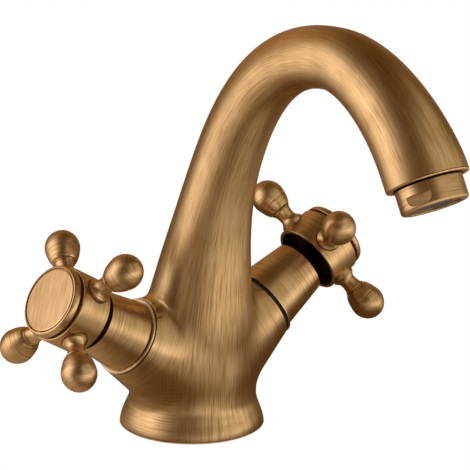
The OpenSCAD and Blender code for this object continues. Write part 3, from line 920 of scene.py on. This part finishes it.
@dataclass
class ValveTop:
    """The fixed, turned pieces that stand on a branch: a thin flange ring and a tapered sleeve."""

    branches: Branches = field(default_factory=Branches)
    gasket: dict[str, float] = field(default_factory=lambda: {"hot": 0.3, "cold": 1.6})
    ring_height: float = 0.8
    ring_radius: float = 14.1
    bore: float = 10.0
    sleeve_radius: float = 13.0
    tip_radius: float = 10.5
    tip: float = 58.0
    wall: float = 1.3
    barrel_bore: float = 7.35
    root_line: float = 0.26  # height of the dark line that is left where the sleeve stands on its ring
    shut_rim: float = 55.6  # where the rear rim of a shut handle stands
    shade_strip: float = 3.6  # painted shade: strip of the sleeve in front of that rim, painted near black where the gap lies in shadow

    def build(self, side: str, finishes: dict[str, Material]) -> None:
        """Make both pieces of one side.

        Args:
            side: "hot" or "cold".
            finishes: Bronze brushed "around" the axis, a lighter copy of it for the ring's painted highlight, and the
                near-black "patina", which is left in the joint at the sleeve's root and is painted shade where a shut
                handle hides the sleeve.
        """
        place = self.branches.place(SIDES[side])
        low = self.branches.ends[side == "cold"] + self.gasket[side]
        high = low + self.ring_height
        ring = rounded(
            [(self.bore, low, 0), (self.ring_radius, low, 0.2), (self.ring_radius, high, 0.28), (self.bore, high, 0),
             (self.bore, low, 0)]
        )  # fmt: skip
        # Painted highlight: the ring takes the lighter copy of the bronze.
        dress(revolve(f"{side}_ring", ring, place, 192), finishes["painted_highlight"], "bronze", "fixture", f"{side}_flange_ring")
        inner = self.sleeve_radius - self.wall
        sleeve = rounded(
            [(inner, high, 0), (self.sleeve_radius, high, 0.25), (self.tip_radius, self.tip, 0.45),
             (self.barrel_bore, self.tip, 0.1), (self.barrel_bore, self.tip - self.wall, 0),
             (self.tip_radius - self.wall, self.tip - self.wall, 0.3), (inner, high, 0)]
        )  # fmt: skip
        cone = revolve(f"{side}_cone", sleeve, place, 192, 0.45)
        dress(cone, finishes["around"], "bronze", "fixture", f"{side}_sleeve")
        patina = finishes["patina"]
        give_dark_finish(cone, place, patina, (self.sleeve_radius - 0.4, FAR), (high - 1, high + self.root_line))
        # Painted shade: under and in front of a shut handle's rim the hot sleeve is painted near black.
        if side == "hot":
            give_dark_finish(cone, place, patina, (0, FAR), (self.shut_rim - self.shade_strip, self.tip))


@dataclass
class CrossHandle:
    """A cross handle: hub with four saddles, four turned arms with ball ends, cap and flat disc."""

    branches: Branches = field(default_factory=Branches)
    plane: float = 61.6  # the arms' plane on a shut valve, along the branch
    lead: float = 3.0
    open_angle: dict[str, float] = field(default_factory=lambda: {"hot": 0.0, "cold": 818.0})
    park: float = 44.6  # angle of the first arm on a shut valve
    hub_radius: float = 13.6
    hub_ends: tuple[float, float] = (-6.0, 6.5)
    skirt: tuple[float, float] = (1.2, 2.8)  # wall and depth of the rear recess
    socket: tuple[float, float] = (8.0, 3.5)  # radius and floor of the front recess
    foot_radius: float = 4.4
    foot_reach: float = 14.2
    saddle: tuple[float, float] = (0.3, 0.6)  # gap round an arm's foot, and depth
    neck_radius: float = 3.0
    neck_reach: float = 16.6
    bead: tuple[float, float, float] = (3.95, 0.6, 20.2)  # radius, width and outer end
    pear_radius: float = 3.75
    pear_waist: float = 0.28
    ball_radius: float = 6.3
    ball_reach: float = 26.6
    ball_tip: float = 6.75
    ball_groove: tuple[float, float, float] = (24.6, 0.08, 0.13)  # reach, depth and half width of the turned line
    cap_radii: tuple[float, float, float] = (10.4, 13.1, 12.1)  # neck, rim and face
    cap_heights: tuple[float, float] = (7.7, 10.2)
    disc_radius: float = 11.5
    disc_height: float = 1.0
    groove: float = 0.35
    disc_brushing: float = 65.0  # how far the straight brushing is turned from the handle's Y axis, in degrees

    def place(self, side: str) -> Matrix:
        """Frame of the handle in its parked place: Z outwards along the branch, X along the first arm."""
        angle = self.open_angle[side]
        rise = self.lead * angle / 360
        return self.branches.place(SIDES[side]) @ shift(z=self.plane + rise) @ turn("Z", self.park + angle)

    def arm_outline(self) -> Array:
        """Radius and reach of an arm: a flared foot, a waisted neck, a thin bead and a pear-shaped ball.

        The neck is two parabolas that meet at its narrowest place. The ball is an ellipse behind its middle,
        narrowed towards the bead and crossed by one fine groove, and another ellipse in front of it.

        Returns:
            Points of shape (n, 2), in mm.
        """
        bead_radius, bead_width, bead_end = self.bead
        x = np.linspace(self.foot_reach, bead_end - bead_width, 28)
        flare = (self.neck_reach - x) / (self.neck_reach - self.foot_reach)
        behind = (self.foot_radius - self.neck_radius) * flare**2
        ahead = (self.pear_radius - self.neck_radius) * ((x - self.neck_reach) / (bead_end - self.neck_reach)) ** 2
        neck = np.stack([self.neck_radius + np.where(x < self.neck_reach, behind, ahead), x], axis=-1)
        turn_angle = np.linspace(0, math.pi, 12)
        half_bead = bead_width / 2
        bead = np.stack(
            [bead_radius - 0.3 + 0.3 * np.sin(turn_angle), bead_end - half_bead - half_bead * np.cos(turn_angle)], axis=-1
        )
        reach = bead_end + (self.ball_reach - bead_end) * np.sin(np.linspace(0, math.pi / 2, 48))
        t = (self.ball_reach - reach) / (self.ball_reach - bead_end)
        swell = (self.ball_radius - self.pear_radius) * np.sqrt(np.maximum(1 - t * t, 0)) * (1 - self.pear_waist * t)
        cut = self.ball_groove[1] * np.exp(-(((reach - self.ball_groove[0]) / self.ball_groove[2]) ** 2))
        back = np.stack([self.pear_radius + swell - cut, reach], axis=-1)
        a = np.linspace(0, math.pi / 2, 32)[1:]
        tip = np.stack([self.ball_radius * np.cos(a), self.ball_reach + self.ball_tip * np.sin(a)], axis=-1)
        foot = [[0, self.hub_radius - 2], [self.foot_radius, self.hub_radius - 2]]
        return np.vstack([foot, neck, bead, back, tip])

    def build_arms(self, side: str, place: Matrix, bronze: Material) -> None:
        """Make the four arms, each trimmed to the hub's saddle.

        Args:
            side: "hot" or "cold".
            place: The handle's frame.
            bronze: Bronze brushed round an arm.
        """
        floor = self.hub_radius - self.saddle[1]
        outline = self.arm_outline()
        for index in range(4):
            frame_of_arm = place @ turn("Z", 90 * index)
            arm = revolve(f"{side}_ball_arm_{index + 1}", outline, frame_of_arm @ turn("Y", 90), 96, 0.6)
            core = np.array([(0, -6), (floor, -6), (floor, 6), (0, 6)])
            carve(arm, [revolve("hub core", core, frame_of_arm, 192, 6)])
            dress(arm, bronze, "bronze", f"{side}_handle", f"{side}_arm_{index + 1}")

    def build_hub(self, side: str, place: Matrix, bronze: Material, patina: Material) -> None:
        """Make the hub with the pocket of each arm's foot, and paint the rear recess with the near-black finish as
        painted shade.

        Args:
            side: "hot" or "cold".
            place: The handle's frame.
            bronze: Bronze brushed round the hub.
            patina: The near-black finish, as painted shade in the recess.
        """
        back, front = self.hub_ends
        wall, depth = self.skirt
        socket_radius, floor = self.socket
        radius = self.hub_radius
        outline = rounded(
            [(0, back + depth, 0), (radius - wall, back + depth, 0.2), (radius - wall, back, 0.1), (radius, back, 0.3),
             (radius, front, 0.45), (socket_radius, front, 0.1), (socket_radius, floor, 0), (0, floor, 0)]
        )  # fmt: skip
        hub = revolve(f"{side}_cross_hub", outline, place, 256, 0.8)
        gap, saddle_depth = self.saddle
        inner = radius - saddle_depth
        pockets = []
        for index in range(4):
            pockets.append(self.pocket(place @ turn("Z", 90 * index), inner, self.foot_radius + gap))
        carve(hub, pockets)
        dress(hub, bronze, "bronze", f"{side}_handle", f"{side}_hub")
        # Painted shade: the rear recess, which lies in shadow, takes the near-black finish.
        give_dark_finish(hub, place, patina, (0, radius - wall + 0.05), (back + 0.05, back + depth + 0.2))

    def pocket(self, place: Matrix, inner: float, radius: float) -> Object:
        """Cutter for one saddle: a cylinder along X whose inner end follows the hub's own curve.

        The end's point at (y, z) of the rim lies at x = sqrt(inner^2 - y^2), so that the pocket has one depth.

        Args:
            place: The handle's frame, turned to the arm.
            inner: Distance from the hub's axis to the pocket's floor, in mm.
            radius: Radius of the pocket, in mm.

        Returns:
            The cutter.
        """
        angle = np.arange(64) / 64 * 2 * math.pi
        shares = np.linspace(0, 1, 7)[:, None]
        y, z = shares * radius * np.cos(angle), shares * radius * np.sin(angle)
        floor = np.stack([np.sqrt(inner**2 - y**2), y, z], axis=-1)
        lid = np.stack([np.full_like(y, inner + 3), y, z], axis=-1)[::-1]
        return ring_surface("pocket cutter", placed(np.concatenate([floor, lid]), place), np.arange(14))

    def build_cap(self, side: str, place: Matrix, around: Material, straight: Material) -> None:
        """Make the cap with its elliptic shoulder, and the flat disc in it.

        Args:
            side: "hot" or "cold".
            place: The handle's frame.
            around: Bronze brushed round the cap.
            straight: Bronze brushed straight across the disc.
        """
        neck, rim, face = self.cap_radii
        back, front = self.cap_heights
        socket_radius, floor = self.socket
        a = np.linspace(math.pi / 2, 0, 14)
        shoulder = np.stack([face + (rim - face) * np.sin(a), back + 0.3 + (front - back - 0.3) * np.cos(a)], axis=-1)
        inner = self.disc_radius + self.groove
        root = rounded(
            [(0, floor + 0.1, 0), (socket_radius - 0.05, floor + 0.1, 0), (socket_radius - 0.05, self.hub_ends[1], 0),
             (neck, self.hub_ends[1], 0), (neck, back, 0), (rim, back, 0.28), tuple(shoulder[0]) + (0,)]
        )  # fmt: skip
        bed = front - self.disc_height
        lip = [(inner + 0.12, front), (inner, front - 0.12), (inner, bed), (0, bed)]
        outline = np.vstack([root, shoulder[1:], lip])
        dress(revolve(f"{side}_cap_ring", outline, place, 192, 0.7), around, "bronze", f"{side}_handle", f"{side}_cap")
        radius = self.disc_radius
        disc = rounded(
            [(0, bed, 0), (radius, bed, 0), (radius, front - 0.05, 0.25), (radius - 0.6, front + 0.1, 0.3), (0, front + 0.1, 0)]
        )  # fmt: skip
        plate = revolve(f"{side}_disc", disc, place, 192, 0.7)
        self.flatten_flow(plate, place)
        dress(plate, straight, "bronze", f"{side}_handle", f"{side}_index_disc")

    def flatten_flow(self, plate: Object, place: Matrix) -> None:
        """Lay a disc's flow map flat: U across and V along its straight brushing, in mm.

        Args:
            plate: The disc.
            place: The handle's frame.
        """
        mesh = plate.data
        corners = read(mesh.loops, "vertex_index", kind=np.int32)
        local = brought_back(read(mesh.vertices, "co", 3), place)
        turned = math.radians(self.disc_brushing)
        across = local[:, 0] * math.cos(turned) + local[:, 1] * math.sin(turned)
        along = local[:, 1] * math.cos(turned) - local[:, 0] * math.sin(turned)
        flow = np.column_stack([across, along])[corners]
        mesh.uv_layers[FLOW_UV].data.foreach_set("uv", flow.reshape(-1).astype(np.float32))

    def build(self, side: str, finishes: dict[str, Material]) -> None:
        """Make one handle.

        Args:
            side: "hot" or "cold".
            finishes: Bronze brushed "around" the hub, round the "balls" and "straight" across the disc, and "patina".
        """
        place = self.place(side)
        self.build_hub(side, place, finishes["around"], finishes["patina"])
        self.build_arms(side, place, finishes["balls"])
        self.build_cap(side, place, finishes["around"], finishes["straight"])


@dataclass
class Aerator:
    """The aerator's threaded shell, with two round-cornered spanner pockets."""

    casting: Casting
    radius: float = 11.2
    drop: float = 8.2
    top: float = -8.0
    thread_radius: float = 10.4
    shoulder: float = -1.2
    insert_radius: float = 9.4
    lip: tuple[float, float] = (8.3, 1.0)
    pocket_size: tuple[float, float] = (8.6, 3.5)
    pocket_corner: float = 2.4
    pocket_top: float = 3.7
    pocket_depth: float = 1.0
    pocket_angle: float = 154.5
    shadow_reach: float = 0.35  # how far the painted shadow of the gap under the spout reaches down the shell

    def pocket(self, angle: float) -> Object:
        """Cutter for one spanner pocket: square at the top and round at the two lower corners.

        Args:
            angle: Where round the shell the pocket lies, in degrees.

        Returns:
            The cutter.
        """
        width, height = self.pocket_size
        corner = self.pocket_corner
        a = np.linspace(0, math.pi / 2, 12)
        right = np.stack([width / 2 - corner + corner * np.cos(a), height - corner + corner * np.sin(a)], axis=-1)
        left = right[::-1] * np.array([-1, 1])
        top = np.stack([np.linspace(-width / 2, width / 2, 8), np.zeros(8)], axis=-1)
        outline = np.vstack([top, right, left])
        centre = np.array([0, height / 2])
        near, far = self.radius - self.pocket_depth, self.radius + 3
        rings = [
            np.column_stack([np.full(len(outline), x), centre + (outline - centre) * share])
            for x, share in ((near, 0.0), (near, 1.0), (far, 1.0), (far, 0.0))
        ]
        place = self.casting.outlet_place() @ turn("Z", angle) @ shift(z=self.pocket_top)
        return ring_surface("pocket cutter", placed(np.array(rings), place), np.arange(4))

    def build(self, bronze: Material, patina: Material) -> None:
        """Make the shell.

        Args:
            bronze: Bronze brushed round the shell.
            patina: The near-black finish, as a painted shadow on its root in the gap under the spout.
        """
        lip_radius, lip_height = self.lip
        outline = rounded(
            [(self.insert_radius, self.top, 0), (self.thread_radius, self.top, 0), (self.thread_radius, self.shoulder, 0),
             (self.radius, self.shoulder, 0.4), (self.radius, self.drop, 0.9), (lip_radius, self.drop, 0.2),
             (lip_radius, self.drop - lip_height, 0), (self.insert_radius, self.drop - lip_height, 0),
             (self.insert_radius, self.top, 0)]
        )  # fmt: skip
        shell = revolve("aerator_body", outline, self.casting.outlet_place(), 256, 0.7)
        carve(shell, [self.pocket(self.pocket_angle), self.pocket(self.pocket_angle + 180)])
        dress(shell, bronze, "bronze", "fixture", "aerator_shell")
        # Painted shadow: the shell's root next to the spout takes the near-black finish.
        give_dark_finish(shell, self.casting.outlet_place(), patina, (0, FAR), (-FAR, self.shadow_reach))


def both(*names: str) -> list[str]:
    """Node names of both sides."""
    return [f"{side}_{name}" for side in SIDES for name in names]


def dress_inner_parts() -> None:
    """Give the CAD nodes that stay their own finishes."""
    finishes = {
        RUBBER: ["base_seal", "aerator_washer", *both("jumper_washer", "spindle_seal")],
        SHADED_FIBRE: ["cold_gasket"],
        WAXED_FIBRE: ["hot_gasket"],
        SHADED_BRASS: both("headwork", "jumper", "spindle"),
        STEEL: both("handle_screw"),
        ACETAL: ["aerator_insert"],
    }
    for finish, nodes in finishes.items():
        material = finish.build()
        for name in nodes:
            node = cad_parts[name]
            node.data.materials.clear()
            node.data.materials.append(material)
        log.info("%s: %s", finish.name, ", ".join(nodes))


# ---- Studio ----


@dataclass
class Camera:
    """The camera, aimed from an azimuth and elevation at a point of the plane that it faces."""

    azimuth: float = -38.494
    elevation: float = 14.960
    roll: float = 0.524
    distance: float = 874.31
    target: tuple[float, float] = (15.177, 70.175)
    focal_pixels: float = 2444.73
    sensor: float = 36.0

    def build(self) -> None:
        """Add the camera and make it the scene's own."""
        a, e, r = (math.radians(v) for v in (self.azimuth, self.elevation, self.roll))
        back = Vector((math.sin(a) * math.cos(e), -math.cos(a) * math.cos(e), math.sin(e)))
        level = Vector((math.cos(a), math.sin(a), 0))
        steep = back.cross(level)
        right = level * math.cos(r) + steep * math.sin(r)
        up = steep * math.cos(r) - level * math.sin(r)
        data = bpy.data.cameras.new("camera")
        data.sensor_width = self.sensor
        data.lens = self.focal_pixels / IMAGE_SIDE * self.sensor
        data.clip_start = 0.01
        camera = bpy.data.objects.new("camera", data)
        place = Matrix((right, up, back)).transposed().to_4x4()
        aim = level * self.target[0] + Vector((0, 0, 1)) * self.target[1]
        place.translation = (aim + back * self.distance) * 0.001
        camera.matrix_world = place
        bpy.context.scene.collection.objects.link(camera)
        bpy.context.scene.camera = camera


@dataclass(frozen=True)
class SoftBox:
    """A soft light panel that the metal reflects, placed by its direction from the object.

    Azimuth 0 is towards the camera, positive to the camera's right, and elevation is above the horizon.
    """

    azimuth: float
    elevation: float
    half_width: float
    half_height: float
    softness: float  # degrees over which the panel fades at its edges
    glow: tuple[float, float, float]

    def mask(self, azimuth: Array, elevation: Array) -> Array:
        """Share of the panel's light in each direction: 1 inside, falling as a logistic curve across its edge.

        Args:
            azimuth: Degrees round from the camera's side.
            elevation: Degrees above the horizon.

        Returns:
            The shares.
        """
        sideways = np.abs((azimuth - self.azimuth + 180) % 360 - 180) / self.half_width
        upwards = np.abs(elevation - self.elevation) / self.half_height
        beyond = (np.maximum(sideways, upwards) - 1) * min(self.half_width, self.half_height)
        return 1 / (1 + np.exp(np.clip(beyond / (self.softness * 0.35), -40, 40)))


SOFT_BOXES = (
    SoftBox(-81, 14, 25, 29, 16, (1.90, 1.94, 1.92)),
    SoftBox(67, 20, 45, 38, 8, (0.55, 0.58, 0.50)),
    SoftBox(60, -10, 56, 11, 7, (0.95, 0.97, 1.00)),
    SoftBox(44, -39, 49, 30, 10, (0.36, 0.37, 0.34)),
    SoftBox(-80, -36, 36, 20, 10, (0.36, 0.33, 0.28)),
    SoftBox(-138, 36, 26, 24, 12, (0.34, 0.22, 0.10)),
    SoftBox(170, 15, 30, 28, 12, (0.25, 0.20, 0.14)),
)


@dataclass
class Studio:
    """White room with a white floor, a tent of soft boxes that only reflections see, and two lamps."""

    camera: Camera
    world_strength: float = 0.7
    floor_size: float = 3.0
    tent_radius: float = 500.0
    tent_centre: tuple[float, float, float] = (0.0, -30.0, 70.0)
    tent_shade: tuple[float, float, float] = (0.135, 0.078, 0.02)  # dark, warm cloth between the soft boxes

    def direction(self, azimuth: Array, elevation: Array) -> Array:
        """Unit vectors towards directions given in degrees from the camera's own side."""
        a, e = np.radians(self.camera.azimuth + azimuth), np.radians(elevation)
        return np.stack([np.sin(a) * np.cos(e), -np.cos(a) * np.cos(e), np.sin(e)], axis=-1)

    def white_to_eye(self, tree: NodeTree, plain: NodeSocket) -> NodeSocket:
        """Mix pure white in for camera, glossy and transmission rays, and keep the plain shader for the rest.

        Args:
            tree: Node tree of the world or the floor.
            plain: Shader that lights the object.

        Returns:
            The mixed shader.
        """
        path = add_node(tree, "LightPath")
        first = add_node(
            tree,
            "Math",
            {0: path.outputs["Is Camera Ray"], 1: path.outputs["Is Glossy Ray"]},
            operation="MAXIMUM",
        )
        seen = add_node(
            tree, "Math", {0: first.outputs[0], 1: path.outputs["Is Transmission Ray"]}, operation="MAXIMUM"
        )
        kind = "Background" if tree is bpy.context.scene.world.node_tree else "Emission"
        white = add_node(tree, kind, in_Color=(1, 1, 1, 1), in_Strength=1.0)
        mix = add_node(tree, "MixShader", {0: seen.outputs[0], 1: plain, 2: white.outputs[0]})
        return mix.outputs[0]

    def build_world(self) -> None:
        """White world, which lights the floor and the pieces that aren't metal."""
        world = bpy.data.worlds.new("white room")
        bpy.context.scene.world = world
        tree = fresh_tree(world)
        plain = add_node(tree, "Background", in_Color=(1, 1, 1, 1), in_Strength=self.world_strength)
        add_node(tree, "OutputWorld", {"Surface": self.white_to_eye(tree, plain.outputs[0])})

    def build_floor(self) -> None:
        """Pale floor that stays white to the camera and to reflections, darkened where the object shades it."""
        mesh = bpy.data.meshes.new("floor")
        half = self.floor_size / 2
        mesh.from_pydata([(-half, -half, 0), (half, -half, 0), (half, half, 0), (-half, half, 0)], [], [(0, 1, 2, 3)])
        floor = bpy.data.objects.new("floor", mesh)
        bpy.context.scene.collection.objects.link(floor)
        material = bpy.data.materials.new("white paper sweep")
        tree = fresh_tree(material)
        paper = add_node(tree, "BsdfDiffuse", in_Color=(0.9, 0.9, 0.9, 1))
        add_node(tree, "OutputMaterial", {"Surface": self.white_to_eye(tree, paper.outputs[0])})
        floor.data.materials.append(material)

    def build_tent(self) -> None:
        """A tent round the object: a sphere with a flat bottom just above the floor, in rings of one elevation.

        Its glow at a direction is the cloth's shade plus each soft box's glow times its mask. Only reflections
        see it, so it neither lights the floor nor shades it.
        """
        azimuth = np.arange(120) * 3.0
        elevation = np.linspace(-90, 90, 61)[:, None] + 0 * azimuth
        azimuth = azimuth + 0 * elevation
        towards = self.direction(azimuth, elevation)
        drop = (self.tent_centre[2] - 0.5) / np.maximum(-towards[..., 2], 1e-6)
        points = np.array(self.tent_centre) + towards * np.minimum(self.tent_radius, drop)[..., None]
        tent = ring_surface("tent", metres(points), np.arange(61), 180)
        away = read(tent.data.vertices, "co", 3) * 1000 - np.array(self.tent_centre)
        away = away / np.linalg.norm(away, axis=1)[:, None]
        rises = np.degrees(np.arcsin(np.clip(away[:, 2], -1, 1)))
        sides = np.degrees(np.arctan2(away[:, 0], -away[:, 1])) - self.camera.azimuth
        glow = np.array(self.tent_shade) + sum(
            box.mask(sides, rises)[:, None] * np.array(box.glow) for box in SOFT_BOXES
        )
        colours = tent.data.color_attributes.new("glow", "FLOAT_COLOR", "POINT")
        colours.data.foreach_set("color", np.column_stack([glow, np.ones(len(glow))]).reshape(-1))
        material = bpy.data.materials.new("lit tent cloth")
        material.cycles.emission_sampling = "NONE"
        tree = fresh_tree(material)
        shade = add_node(tree, "Attribute", attribute_name="glow")
        cloth = add_node(tree, "Emission", {"Color": shade.outputs["Color"]}, in_Strength=1.0)
        add_node(tree, "OutputMaterial", {"Surface": cloth.outputs[0]})
        tent.data.materials.append(material)
        tent.visible_camera = False
        tent.visible_diffuse = False
        tent.visible_shadow = False

    def build_lamp(self, name: str, azimuth: float, elevation: float, size: tuple[float, float], watts: float) -> None:
        """One lamp, aimed at the object, for the pieces that aren't metal and for the floor's shadow.

        Args:
            name: The lamp's name.
            azimuth: Degrees round from the camera's side.
            elevation: Degrees above the horizon.
            size: Width and height, in metres.
            watts: Its power.
        """
        data = bpy.data.lights.new(name, "AREA")
        data.shape = "RECTANGLE"
        data.size, data.size_y = size
        data.energy = watts
        lamp = bpy.data.objects.new(name, data)
        way = Vector(self.direction(np.array(azimuth), np.array(elevation)))
        lamp.matrix_world = way.to_track_quat("Z", "Y").to_matrix().to_4x4()
        lamp.location = way + Vector(self.tent_centre) * 0.001
        lamp.visible_glossy = False
        bpy.context.scene.collection.objects.link(lamp)

    def build(self) -> None:
        """Build the room, the floor, the tent and the lamps."""
        settings = bpy.context.scene.view_settings
        settings.view_transform = "Standard"
        self.build_world()
        self.build_floor()
        self.build_tent()
        self.build_lamp("left soft box", -62, 25, (0.7, 0.9), 9)
        self.build_lamp("right soft box", 80, 30, (0.7, 0.7), 2.5)


def main() -> None:
    """Build every sub-assembly in order and report it."""
    logging.basicConfig(level=logging.INFO, format="%(name)s: %(message)s")
    camera = Camera()
    camera.build()
    Studio(camera).build()
    casting = Casting()
    casting.build(BrushedCasting("brushed antique bronze, casting", Brushing.ALONG, radius=13).build())
    finishes = {
        "around": BrushedBronze("brushed antique bronze, turned", Brushing.AROUND, radius=13).build(),
        "balls": BrushedBronze("brushed antique bronze, balls", Brushing.AROUND, radius=5).build(),
        "straight": BrushedBronze("brushed antique bronze, disc", Brushing.STRAIGHT).build(),
        "painted_highlight": BrushedBronze(
            "brushed antique bronze, worn ring", Brushing.AROUND, 14, bright="#f0dcc0", middle="#dcbf99", patina="#bb955f"
        ).build(),  # lighter copy of the bronze: painted highlight on the proud rings
        "patina": JOINT_PATINA_AND_PAINTED_SHADE.build(),
    }
    for side in SIDES:
        ValveTop().build(side, finishes)
        CrossHandle().build(side, finishes)
    Aerator(casting).build(finishes["around"], finishes["patina"])
    dress_inner_parts()


if __name__ == "__main__":
    main()
